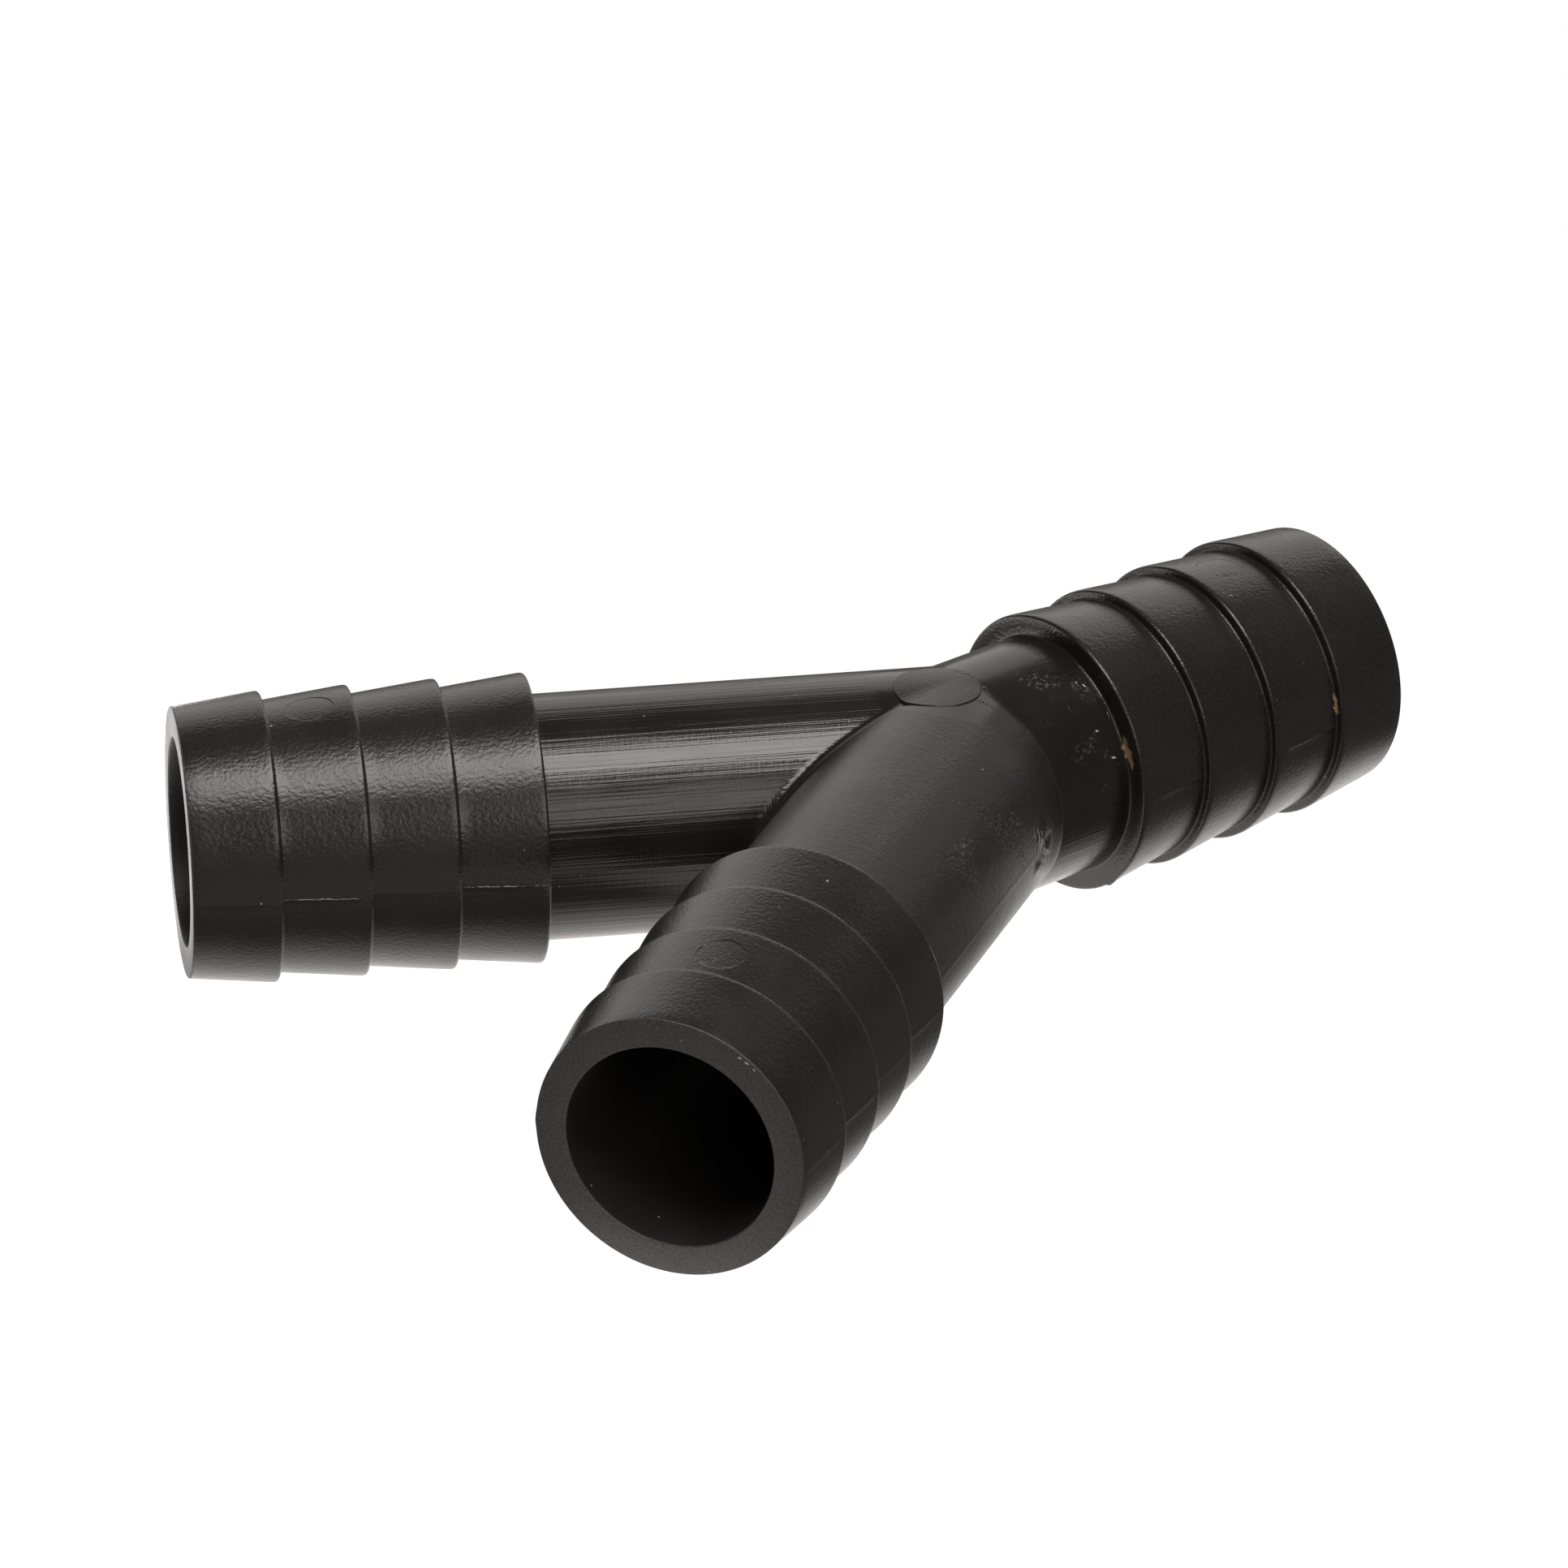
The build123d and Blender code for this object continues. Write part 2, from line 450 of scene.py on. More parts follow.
def add_arm(surface, arm, arms, junction, sizes):
    """An arm: its profile swept round its axis, from the seams out to the mouth and back in.

    A point at angle a from the crown is at distance x along the axis, r sin a sideways and
    r cos a up. The plain tube starts where its column meets a neighbour's, at r sin a
    / tan(half the angle between the two axes), or on the crown circle. The grid's edges
    round the pin mark's square and on the crown circle are handed back, for the patches.
    """
    tube, bore, crest = sizes.tube_diameter / 2, sizes.bore_diameter / 2, sizes.crest_diameter / 2
    left, right = (side_angles(gap, sizes) for gap in arm.gaps)
    angles = np.concatenate([-left[:0:-1], right])
    middle = len(left) - 1
    window_rows = mark_rows(arm, sizes)
    profile, window_start = arm_profile(arm, window_rows, sizes)

    gap = np.where(angles < 0, *arm.gaps)
    seam = np.abs(np.sin(angles)) / np.tan(gap / 2)
    corner = np.where(angles < 0, *(corner_angle(g, sizes) for g in arm.gaps))
    in_crown = np.abs(angles) < corner + 1e-9
    on_circle = np.sqrt(np.maximum(crown_radius(sizes) ** 2 - (tube * np.sin(angles)) ** 2, 0))
    start = np.where(in_crown, on_circle, tube * seam)[:, None]

    # the plain tube's rows crowd towards the seam, and the bore's are evenly spaced
    steps = math.ceil(profile[0, 0] / TUBE_STEP) + SEAM_ROWS
    ease = np.expm1(SEAM_CROWDING * np.linspace(0, 1, steps)) / math.expm1(SEAM_CROWDING)
    tube_s = start + (profile[0, 0] - start) * ease[:-1]
    inward = np.linspace(1, 0, math.ceil(arm.length / BORE_STEP))[1:]
    bore_start = bore * seam[:, None]
    bore_s = bore_start + (profile[-1, 0] - bore_start) * inward
    s = np.concatenate([tube_s, np.tile(profile[:, 0], (len(angles), 1)), bore_s], 1)
    tube_rows = tube_s.shape[1]
    row_radius = np.concatenate([np.full(tube_rows, tube), profile[:, 1], np.full(len(inward), bore)])

    # the plain tube is settled onto the surface that the three tubes share
    beside, above = (turn(angles)[:, None] for turn in (np.sin, np.cos))
    local = np.stack([s, row_radius * beside, row_radius * above], -1)
    points = arm.place(local)
    points[:, :tube_rows] = settle(points[:, :tube_rows], arms, tube, sizes.seam_round)

    # the parting line is a fine ridge at mid height, from just off the seams to the end face,
    # and it leaves the crests' lands plain
    mouth_row = tube_rows + int(np.argmax(profile[:, 0] > arm.length - 0.9 * sizes.mouth_round))
    from_middle = np.abs(np.abs(angles) - math.pi / 2) * tube
    ridge = sizes.parting_rise * np.clip(1 - from_middle / sizes.parting_width, 0, 1)
    ridged = (np.arange(len(row_radius)) < mouth_row) & (row_radius < crest - sizes.parting_rise)
    barb = np.floor((arm.length - s) / sizes.barb_pitch).astype(int)
    strength = np.array(PARTING_STRENGTH)[np.clip(barb, 0, len(PARTING_STRENGTH) - 1)]
    fade = np.clip((s - start) / PARTING_FADE - PARTING_LATE, 0, 1) * ridged * strength
    outwards = beside * arm.sideways + above * UP
    points += (ridge[:, None] * fade)[..., None] * outwards[:, None]
    points += lumps(points, junction)
    off_seam = np.clip((s - start) / SEAM_FADE, 0, 1).T
    points, local = points.transpose(1, 0, 2), local.transpose(1, 0, 2)

    faces = grid_faces(points.shape)
    finish = np.full(faces.shape[:2], BARBS)
    finish[: tube_rows + FOOT_ROWS] = arm.finish
    finish[mouth_row:] = ENDS
    finish[tube_rows + len(profile) - 2 :] = BORES  # the profile's last two rows are in the bore
    keep = np.ones(faces.shape[:2], bool)
    first = tube_rows + window_start
    last = first + len(window_rows) - 1
    low, high = middle - MARK_COLUMNS, middle + MARK_COLUMNS
    keep[first:last, low:high] = False
    surface.add_faces(faces[keep] + surface.add_points(points, local, off_seam), finish[keep])
    out, across = points[first:last, low], points[last, low:high]
    back, home = points[last:first:-1, high], points[first, high:low:-1]
    return np.concatenate([out, across, back, home]), points[0, in_crown]


def add_disc(
    surface, loop, arm, centre, radius, outside_height, disc_height, ragged, finishes,
    outside_relief=1.0, bearing=None,
):
    """A disc with a round rim, set in the hole that the loop leaves in a surface.

    Rings of points run from the loop to the rim's foot, over the rim, and in to the centre.
    A loop point goes straight to its own point of the rim, whose bearing from the centre is
    the loop point's unless it is given, and on to the centre. Its height is the surface's
    own outside the rim, and the disc's inside it. The two finishes are the surface's and
    the disc's.
    """
    plan = np.stack([loop @ arm.along, loop @ arm.sideways], -1) - centre
    if bearing is None:
        bearing = np.arctan2(plan[:, 1], plan[:, 0])
    ray = np.stack([np.cos(bearing), np.sin(bearing)], -1)
    rim = radius * (1 + ragged(bearing))
    foot = (rim + RIM_STEPS[0])[:, None] * ray
    outer = plan + (foot - plan) * np.linspace(0, 1, OUTER_RINGS)[1:, None, None]
    over = rim - RIM_STEPS[1:, None]
    inner = np.concatenate([over, over[-1] * np.linspace(1, 0, INNER_RINGS)[1:-1, None]])
    where = centre + np.concatenate([outer, inner[..., None] * ray])
    height = np.concatenate([outside_height(where[: len(outer)]), disc_height(where[len(outer) :])])
    rings = np.concatenate([loop[None], arm.place(np.concatenate([where, height[..., None]], -1))])
    rings = np.concatenate([rings, rings[:, :1]], 1)
    pole = arm.place(np.array([*centre, disc_height(centre)]))
    points = np.concatenate([rings.reshape(-1, 3), pole[None]])
    local = np.stack([points @ arm.along, points @ arm.sideways, points @ UP], -1)
    relief = np.ones(rings.shape[:2])
    relief[: len(outer) + 1] = outside_relief
    first = surface.add_points(points, local, np.append(relief, 1.0))
    finish = np.where(np.arange(len(rings) - 1) < len(outer), *finishes)[:, None]
    surface.add_faces(grid_faces(rings.shape)[..., ::-1] + first, finish)
    last_ring = first + (rings.shape[0] - 1) * rings.shape[1] + np.arange(rings.shape[1])
    pole_index = np.full(len(last_ring) - 1, first + len(points) - 1)
    surface.add_faces(np.stack([last_ring[:-1], last_ring[1:], pole_index], -1), finishes[1])


def wavy(seed, strength, waves):
    """An uneven rim: a sum of sines round it, weaker for shorter waves, with seeded phases."""
    phases = np.random.default_rng(seed).uniform(0, 2 * math.pi, len(waves))

    def share(bearing):
        terms = [np.sin(n * bearing + phase) / n**0.5 for n, phase in zip(waves, phases)]
        return strength * sum(terms)

    return share


def add_pin_mark(surface, window, arm, seed, sizes):
    """An ejector pin's mark on an arm's cone.

    The cone's height over a place in plan is the root of its radius squared less the
    sideways distance squared. The mark's top follows it about a level below the cone's top.
    """
    level = (sizes.crest_diameter / 2 + sizes.nose_diameter / 2) / 2 - sizes.pin_mark_depth

    def cone(where):
        return np.sqrt(cone_radius(where[..., 0], arm, sizes) ** 2 - where[..., 1] ** 2)

    def top(where):
        return level + MARK_FOLLOW * (cone(where) - MARK_RIM - level)

    middle = barb_back(arm, sizes.pin_mark_barb, sizes) + sizes.barb_pitch / 2
    ragged = wavy(seed, MARK_UNEVEN, MARK_WAVES)
    centre, radius = np.array([middle, 0.0]), sizes.pin_mark_diameter / 2
    add_disc(surface, window, arm, centre, radius, cone, top, ragged, (BARBS, BARBS))


def add_gate_pad(surface, loop, arms, sizes):
    """The gate pad on top of the junction, inside the loop on the crown circle.

    Its top follows a dome, the joined surface with wide valleys, about a level just above
    the tubes. The two side seams leave the junction at half their gap and meet the rim at
    known bearings, so the loop's are stretched to match, and the seams lie on mesh edges.
    """
    tube, radius = sizes.tube_diameter / 2, sizes.pad_diameter / 2
    level = tube + sizes.pad_rise

    def crown(where):
        return settle_upright(where, arms, tube, sizes.seam_round)[..., 2]

    def top(where):
        dome = settle_upright(where, arms, tube, PAD_DOME_ROUND)[..., 2] + PAD_LIP
        return level + PAD_FOLLOW * (dome - level)

    centre = np.array([-sizes.pad_setback, 0.0])
    seam = arms[1].gaps[0] / 2
    ahead = centre[0] * math.cos(seam)
    out = ahead + math.sqrt(radius**2 - sizes.pad_setback**2 + ahead**2)
    meeting = math.atan2(out * math.sin(seam), out * math.cos(seam) - centre[0])
    on_loop, on_rim = ([-math.pi, -angle, angle, math.pi] for angle in (seam, meeting))
    bearing = np.interp(np.arctan2(loop[:, 1], loop[:, 0]), on_loop, on_rim)
    ragged, finishes = wavy(PAD_SEED, PAD_UNEVEN, PAD_WAVES), (TUBE, SATIN_TUBE)
    add_disc(surface, loop, arms[0], centre, radius, crown, top, ragged, finishes, 0.0, bearing)


# ---- materials ----
# Colours laid over the plastic: scuffs, hairlines, scratch marks and painted highlights, the scar's
# streaks, grain, tint.
SCUFF_COLOUR, HAIR_COLOUR = (0.16, 0.155, 0.15), (0.3, 0.3, 0.3)
# The scratch colour is also the colour of the painted highlights along the parting ridges.
SCRATCH_AND_HIGHLIGHT_COLOUR, STREAK_COLOUR = (0.55, 0.55, 0.52), (0.5, 0.5, 0.48)
GRAIN_COLOUR, TINT_COLOUR = (0.10, 0.09, 0.085), (0.030, 0.022, 0.008)
RAGGED_GRAIN = 0.4

# Marks on the surface: a name, in which a or b is the branch, the start, the end and the width.
RESIDUE = (
    ("last_barb_foot", (-24.4, -7.7, 4.3), (-24.4, -8.7, 2.2), 0.7),
    ("first_barb_back", (-6.1, -9, 2.3), (-6.1, -9.4, 0.9), 0.55),
    ("first_barb_belly", (-6.1, -8.3, -4.3), (-6.1, -8.4, -4.5), 0.3),
    ("first_barb_crown", (-6.1, 3.1, 9.1), (-6.1, 3.3, 9), 0.35),
)
DUST = (
    ("a_barb", (-74.9, 22.5, 9.3), (-74.9, 22.6, 9.3), 0.16),
    ("a_parting", (-80.6, 16.2, 0.1), (-80.6, 16.2, 0.1), 0.13),
    ("fleck_a", (-42, 0.9, 7.7), (-41.5, 1, 7.6), 0.09),
    ("b_top", (-36.8, -7.4, 7.3), (-36.8, -7.5, 7.3), 0.13),
    ("b_middle", (-38.2, -8.9, 6.8), (-38.2, -9, 6.8), 0.12),
    ("b_barb", (-59.6, -18.5, 9.4), (-59.6, -18.6, 9.3), 0.14),
    ("mouth_b_high", (-77.3, -31.2, 7.7), (-77.1, -31.4, 7.6), 0.14),
    ("mouth_b_middle", (-77, -31.6, 7.4), (-76.9, -31.8, 7.3), 0.16),
    ("mouth_b_low", (-76.8, -32.1, 7), (-76.7, -32.2, 6.9), 0.13),
    ("bore_b_left", (-81.9, -21.7, -4.4), (-81.9, -21.7, -4.4), 0.15),
    ("bore_b_low", (-78.2, -24.1, -7), (-78.2, -24.1, -7), 0.17),
    ("bore_b_streak", (-82.1, -21.1, -3.4), (-82, -21.5, -4), 0.06),
    ("stem_near_foot", (-25.3, -4.3, 7.3), (-25.2, -4.5, 7.2), 0.16),
    ("stem_crown", (-25.7, -3.9, 7.5), (-25.6, -4.1, 7.5), 0.1),
    ("stem_side", (-26.2, -6.8, 5), (-26, -6.9, 5), 0.14),
    ("stem_low", (-25.6, -7.9, 3.2), (-25.3, -7.9, 3.1), 0.14),
    ("third_barb_foot", (-12.7, -9.3, 2.1), (-12.6, -9.3, 2.1), 0.12),
)
# Scratch marks. The last two rows are painted highlights: pale lines along the parting ridge of branch
# a's second and fourth barbs, where light catches the ridge.
SCRATCHES_AND_PARTING_HIGHLIGHTS = (
    ("stem_slant", (-27, -8.44, 1), (-26.1, -8.25, 2), 0.07),
    ("stem_arc_high", (-24.6, -2.7, 8.1), (-24.7, -5, 6.9), 0.07),
    ("stem_arc_low", (-24.7, -5, 6.9), (-24.7, -6.8, 5.2), 0.07),
    ("second_barb_short", (-8.4, -8, 5.4), (-8.3, -8.2, 5), 0.06),
    ("scar_high", (-34.3, -10.5, 1.7), (-33.2, -10, 0.3), 0.16),
    ("scar_middle", (-35, -11, -0.2), (-33.6, -10.3, -0.4), 0.12),
    ("scar_low", (-34, -10.3, -0.6), (-33.2, -9.8, -1.9), 0.14),
    ("stem_mark_lip", (-11.2, -3.3, 9.35), (-10.4, -3.3, 9.3), 0.09),
    ("a_crown", (-53.3, 9.4, 8.3), (-52.9, 9.4, 8.3), 0.1),
    ("a_parting", (-61.2, 6.2, -0.3), (-60.6, 6.5, -0.3), 0.12),
    ("second_barb_parting_painted_highlight", (-72.8, 11.25, 0), (-80.5, 16.9, 0), 0.1),
    ("fourth_barb_parting_painted_highlight", (-62.2, 5.15, 0), (-69.9, 10.8, 0), 0.1),
)
CRACKS = (
    ("pad_edge_high", (-32.4, 0.8, 8.6), (-32, -1, 8.5), 0.46),
    ("pad_edge_low", (-32, -1, 8.5), (-32.2, -2.6, 8.2), 0.44),
    ("pad_scuff", (-33.8, -2.8, 8.3), (-32.8, -4.4, 7.6), 0.5),
    ("b_high", (-40.8, -12, 5.5), (-39.4, -12.6, 3.7), 0.44),
    ("b_middle", (-42.2, -11.4, 6.8), (-41, -12, 5.4), 0.42),
    ("b_low", (-38.8, -12.4, 3.4), (-37.9, -12.4, 1.6), 0.44),
    ("b_near_barb", (-46.9, -15.2, 5.8), (-45.3, -16, 3.6), 0.48),
    ("mark_b_smear", (-73.5, -22.1, 9.5), (-72.2, -22.7, 9.6), 0.6),
    ("stem_mark_smear", (-10.3, -1, 9.7), (-8.3, -1.5, 9.5), 0.55),
)
CLOUDS = (
    ("stem_crown", (-29.2, -2, 8.3), (-27, -3.8, 7.7), 2.2),
    ("stem_foot", (-26.2, -3.6, 7.7), (-25.2, -5.4, 6.6), 1.3),
    ("stem_side", (-28.9, -7.6, 3.7), (-26.2, -7, 5), 1.4),
    ("stem_low", (-26.4, -7.6, 4), (-25.2, -8.2, 2.6), 0.9),
    ("b_side", (-46.5, -15.5, 5), (-43, -13.8, 5.2), 1.8),
    ("b_seam", (-38, -11.6, 4.2), (-36.4, -11.4, 2.4), 1.6),
)
TINT = (("b_root", (-36.2, -8.2, 6.8), (-34.2, -8, 5.6), 3.2),)
NICKS = (
    ("b_root", (-41, -12, 5.5), (-37.6, -12.3, 1.4), 3),
    ("b_barb", (-47.5, -15.2, 5.6), (-44, -15.6, 3.4), 2.2),
)
SCAR = (("seam_end", (-35, -11, 1.4), (-32.6, -9.6, -1.6), 2.6),)


class Nodes:
    """A node tree. Each step adds to it, and gives the node or the socket that it made."""

    def __init__(self, tree):
        self.tree = tree

    def set(self, socket, value):
        """Links another node's socket to this one, or sets its value."""
        if isinstance(value, bpy.types.NodeSocket):
            self.tree.links.new(value, socket)
        else:
            socket.default_value = value

    def add(self, kind, inputs=None, **settings):
        """A node of that kind, with its settings, and its inputs by name or number."""
        node = self.tree.nodes.new("ShaderNode" + kind)
        for name, value in settings.items():
            setattr(node, name, value)
        for name, value in (inputs or {}).items():
            self.set(node.inputs[name], value)
        return node

    def maths(self, operation, *values):
        """Arithmetic on single values."""
        return self.add("Math", dict(enumerate(values)), operation=operation).outputs[0]

    def times(self, value, other):
        """One value multiplied by another."""
        return self.maths("MULTIPLY", value, other)

    def attribute(self, name, output):
        """A mesh attribute's socket."""
        return self.add("Attribute", attribute_name=name).outputs[output]

    def to_camera(self):
        """1 for what the camera sees directly, and 0 for what lights or mirrors."""
        return self.add("LightPath").outputs["Is Camera Ray"]


class Finish(Nodes):
    """A material's patterns, on its place in the object and along its arm."""

    def __init__(self, name):
        self.material = bpy.data.materials.new(name)
        self.material.use_nodes = True
        super().__init__(self.material.node_tree)
        self.shader = self.tree.nodes["Principled BSDF"]
        self.place = self.add("TexCoord").outputs["Object"]
        self.arm_place = self.attribute(ARM_PLACE, "Vector")
        self.off_seam = self.attribute(OFF_SEAM, "Fac")

    def vector(self, operation, *values):
        """Arithmetic on vectors, and on colours."""
        node = self.add("VectorMath", dict(enumerate(values)), operation=operation)
        return node.outputs["Value" if operation == "LENGTH" else "Vector"]

    def ramp(self, value, start, end, low=0.0, high=1.0):
        """Eases from low to high, as the value goes from start to end."""
        inputs = {"Value": value, "From Min": start, "From Max": end, "To Min": low, "To Max": high}
        return self.add("MapRange", inputs, interpolation_type="SMOOTHSTEP").outputs["Result"]

    def grains(self, place, *grain):
        """A place counted in grains of that many millimetres, the same or one for each axis."""
        sizes = grain * 3 if len(grain) == 1 else grain
        return self.vector("MULTIPLY", place, tuple(1 / (size * MM) for size in sizes))

    def noise(self, place, *grain, detail=2.0):
        """Noise around 0.5, with that grain."""
        inputs = {"Vector": self.grains(place, *grain), "Scale": 1.0, "Detail": detail}
        return self.add("TexNoise", inputs).outputs[0]

    def lines(self, width, *grain):
        """Fine lines where stretched noise crosses 0.5."""
        noise = self.noise(self.place, *grain, detail=1.0)
        return self.ramp(self.maths("ABSOLUTE", self.maths("SUBTRACT", noise, 0.5)), width, 0.0)

    def marks(self, marks, soft, ragged):
        """Each mark is a round-ended streak from its start to its end: 1 inside, easing to 0
        at its edge, which is ragged, as noise shifts the place by that many millimetres."""
        inputs = {"Vector": self.grains(self.place, RAGGED_GRAIN), "Scale": 1.0}
        shift = self.add("TexNoise", inputs).outputs["Color"]
        centred = self.vector("SUBTRACT", shift, (0.5,) * 3)
        place = self.vector("MULTIPLY_ADD", centred, (2 * ragged * MM,) * 3, self.place)
        total = 0.0
        for _, start, end, width in marks:
            start, end = Vector(start) * MM, Vector(end) * MM
            half = width * MM / 2
            turn = (end - start).to_track_quat("X", "Z").to_euler()
            size = ((end - start).length / 2 + half, half, half)
            inputs = {"Vector": place, "Location": (start + end) / 2, "Rotation": turn, "Scale": size}
            local = self.add("Mapping", inputs, vector_type="TEXTURE").outputs[0]
            mark = self.ramp(self.vector("LENGTH", local), 1.0, 1.0 - soft)
            total = self.maths("MAXIMUM", total, mark)
        return total

    def specks(self, size, spacing, amount):
        """Round specks of random sizes, one at most in each cell of that spacing."""
        inputs = {"Vector": self.grains(self.place, spacing), "Scale": 1.0}
        cells = self.add("TexVoronoi", inputs)
        chance = self.add("SeparateColor", {0: cells.outputs["Color"]}).outputs[0]
        radius = self.ramp(chance, 1.0 - amount, 1.0, 0.0, size / spacing / 2)
        return self.ramp(self.maths("SUBTRACT", cells.outputs["Distance"], radius), 0.0, -0.02)

    def blend(self, share, base, over):
        """Lays one colour over another by that share."""
        node = self.add("Mix", data_type="RGBA")
        for socket, value in zip((0, 6, 7), (share, base, over)):
            self.set(node.inputs[socket], value)
        return node.outputs[2]


def moulded_plastic(name, colour, roughness, finish, crinkle, tool_lines, grain):
    """Black plastic as it leaves the mould.

    Colour: the plastic's own, cloudy by a tenth; a warm tint on branch b's root; then scuffs,
    hairlines, tan residue, scratch marks and painted highlights along parting ridges, the scar's
    streaks, a paler grain, and dust.
    Roughness: uneven over some millimetres, and higher on scuffs, residue, dust, scratch marks and the
    painted highlights.
    Relief, in millimetres: the scar's roughness and the cracks; a crinkle, and lengthwise tool
    lines with chatter across them, which fade out at the seams; the scratch marks, the painted
    highlights and the nicks.
    """
    f = Finish(name)
    clouds = f.noise(f.place, 5.0, detail=3.0)
    patchy = f.ramp(f.noise(f.place, 0.3, detail=4.0), 0.48, 0.66)
    scuffed = f.times(f.marks(CLOUDS, 0.9, 1.0), patchy)
    hair = f.times(f.lines(0.006, 4.0, 0.5, 0.9), f.ramp(f.noise(f.place, 2.2), 0.55, 0.7))
    residue = f.marks(RESIDUE, 0.5, 0.35)
    dust = f.maths("MAXIMUM", f.marks(DUST, 0.4, 0.06), f.times(f.specks(0.14, 0.9, 0.09), 0.4))
    scratches_and_highlights = f.marks(SCRATCHES_AND_PARTING_HIGHLIGHTS, 0.7, 0.1)
    scar = f.marks(SCAR, 0.8, 0.6)
    streaks = f.times(scar, f.ramp(f.noise(f.place, 0.25, 0.3, 1.4, detail=3.0), 0.52, 0.58))
    nicks = f.times(f.marks(NICKS, 0.9, 0.8), f.lines(0.07, 0.8, 0.6, 0.25))
    cracks = f.times(f.marks(CRACKS, 0.6, 0.12), f.lines(0.08, 0.4))

    layers = [  # where, how strongly, and the colour
        (f.marks(TINT, 1.0, 0.5), 0.5, TINT_COLOUR),
        (scuffed, finish.scuff_strength, SCUFF_COLOUR),
        (hair, 0.05, HAIR_COLOUR),
        (residue, 0.85, finish.residue_colour),
        # real scratch marks, and pale lines painted on the parting ridges as highlights
        (scratches_and_highlights, 0.6, SCRATCH_AND_HIGHLIGHT_COLOUR),
        (streaks, 0.85, STREAK_COLOUR),
    ]
    if grain:
        fine = f.ramp(f.noise(f.place, 0.11, detail=1.0), 0.35, 0.7)
        layers.append((fine, grain, GRAIN_COLOUR))
    layers.append((dust, 0.75, finish.dust_colour))
    surface = f.vector("MULTIPLY", colour, f.ramp(clouds, 0.3, 0.7, 0.9, 1.1))
    for mask, strength, over in layers:
        surface = f.blend(f.times(mask, strength), surface, (*over, 1))
    f.set(f.shader.inputs["Base Color"], surface)

    wander = finish.gloss_variation
    rough = f.ramp(clouds, 0.3, 0.7, roughness - wander, roughness + wander)
    for mask, more in ((scuffed, 0.12), (residue, 0.3), (dust, 0.4), (scratches_and_highlights, 0.2)):
        rough = f.maths("MULTIPLY_ADD", mask, more, rough)
    f.set(f.shader.inputs["Roughness"], rough)

    def rough_by(share, place, *grain, detail=3.0):
        """Noise brought to 0 on average, times a share of the surface."""
        return f.times(f.maths("SUBTRACT", f.noise(place, *grain, detail=detail), 0.5), share)

    reliefs = [(rough_by(scar, f.place, 0.8), 0.35), (cracks, -0.08)]
    if crinkle:
        reliefs.append((rough_by(f.off_seam, f.arm_place, 0.3, 0.26, 0.26), crinkle))
    if tool_lines:
        along = rough_by(f.off_seam, f.arm_place, 30.0, 0.2, 0.2)
        chatter = rough_by(f.off_seam, f.arm_place, 0.12, 1.8, 1.8, detail=1.0)
        reliefs += [(along, tool_lines * 0.9), (chatter, tool_lines * 0.35)]
    relief = 0.0
    for pattern, height in (*reliefs, (scratches_and_highlights, -0.01), (nicks, -0.11)):
        relief = f.maths("MULTIPLY_ADD", pattern, height, relief)
    bump = f.add("Bump", {"Height": relief, "Distance": MM})
    f.set(f.shader.inputs["Normal"], bump.outputs[0])
    return f.material


def plastics(finish):
    """The finishes' materials, in their own order."""
    crinkle, tool_lines = finish.crinkle_height / MM, finish.tool_line_height / MM
    rows = (
        # name, colour, roughness, share of the crinkle and of the tool lines, grain
        ("tube_plastic", finish.plastic_colour, finish.tube_roughness, 0.25, 1.0, 0.0),
        ("satin_tube_plastic", finish.plastic_colour, finish.satin_roughness, 0.7, 0.35, 0.14),
        ("barb_plastic", finish.barb_colour, finish.barb_roughness, 1.0, 0.0, 0.1),
        ("end_plastic", finish.end_colour, finish.end_roughness, 1.0, 0.0, 0.5),
        # the bores: the same plastic, painted paler as light that doesn't reach inside
        ("bore_plastic_painted_lighter", finish.bore_painted_light_colour, finish.end_roughness, 1.0, 0.0, 0.04),
    )
    return [
        moulded_plastic(name, tuple(own), rough, finish, some * crinkle, part * tool_lines, grain)
        for name, own, rough, some, part, grain in rows
    ]


# ---- the stage ----
LIGHT_COLOUR = (1.0, 0.962, 0.945)
WORLD_LEVEL = 0.1
LAMPS = (
    # name, azimuth and elevation in degrees, distance, width and height in metres, radiance
    ("overhead_softbox", -94, 76.5, 1.2, 1.05, 0.54, 7.5),
    ("front_softbox", -104, 33, 1.5, 0.98, 0.7, 2.4),
    ("back_panel", 58, 18, 1.6, 2.0, 1.3, 0.95),
    ("side_panel", 14, 19, 1.6, 0.98, 0.95, 0.42),
    ("left_panel", -137, 4, 1.6, 1.0, 0.8, 0.3),
)

# The floor: its colour; how much of it is plain glow to the camera, and how strong; its
# grid's core, spread and lines; and the light from below, which fades off an arm's axis.
FLOOR_COLOUR = (0.16, 0.155, 0.15)
CAMERA_SHARE, CAMERA_GLOW = 0.88, 1.12
FLOOR_CORE, FLOOR_SPREAD, FLOOR_LINES = 0.02, 5.7, 161
GLOW_LEVEL, GLOW_REACH = 1.3, (5.5 * MM, 13.5 * MM)
GLOW_PATCHES = (
    # name, start and end in plan, near and far reach, level
    ("behind_branch_a", (-74, 51), (-30, 160), 15, 26, 3.4),
    ("left_of_branches", (-100, -20), (-132, -72), 14, 44, 0.3),
)

# The camera: degrees clockwise from -Y, above the floor and of roll; where the junction lies
# in its view, to the right and up, and how far off; its lens and sensor in millimetres.
CAMERA_AZIMUTH, CAMERA_ELEVATION, CAMERA_ROLL = 38.988, 27.571, 0.172
CAMERA_OFFSET, CAMERA_DISTANCE = (12.033 * MM, -0.243 * MM), 702.971 * MM
CAMERA_LENS, CAMERA_SENSOR = 233.32, 36
CAMERA_CLIP = (0.05, 20)


